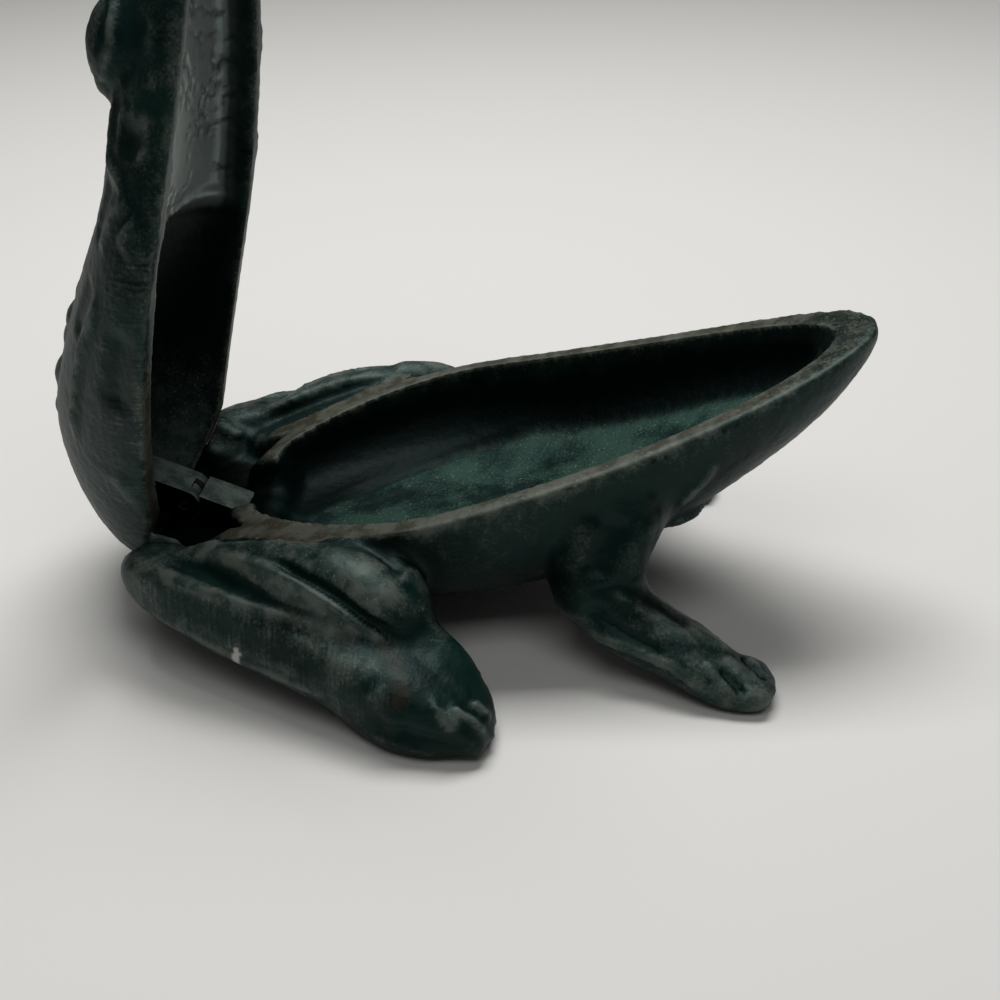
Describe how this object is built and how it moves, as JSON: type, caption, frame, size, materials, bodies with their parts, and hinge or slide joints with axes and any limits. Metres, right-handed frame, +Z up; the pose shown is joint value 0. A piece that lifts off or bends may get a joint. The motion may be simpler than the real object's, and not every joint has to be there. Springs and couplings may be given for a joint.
{
  "type": "frog box paperweight",
  "caption": "Crouching frog in painted cast iron: a hollow tray body on folded legs, closed by its own back as a lid that swings up on a hinge at the rump.",
  "frame": {"origin": "middle of the open object's box, on the floor under the feet", "axes": "+X from the rump to the snout, +Y to the frog's left, +Z up"},
  "size_m": [0.1074, 0.086, 0.1072],
  "materials": {
    "green_iron": "dark green paint over rough cast iron, rubbed to brown iron on ridges and rims",
    "pin_steel": "plain drawn wire, dulled"
  },
  "bodies": {
    "tray": {"tray_body": "green_iron", "hinge_pin": "pin_steel"},
    "lid": {"back_lid": "green_iron"}
  },
  "joints": [
    {"name": "lid_hinge", "type": "hinge", "parent": "tray", "child": "lid", "pos_m": [-0.03846, 0, 0.0111], "axis": [0, 1, 0], "range_deg": [0, 63.5]}
  ]
}
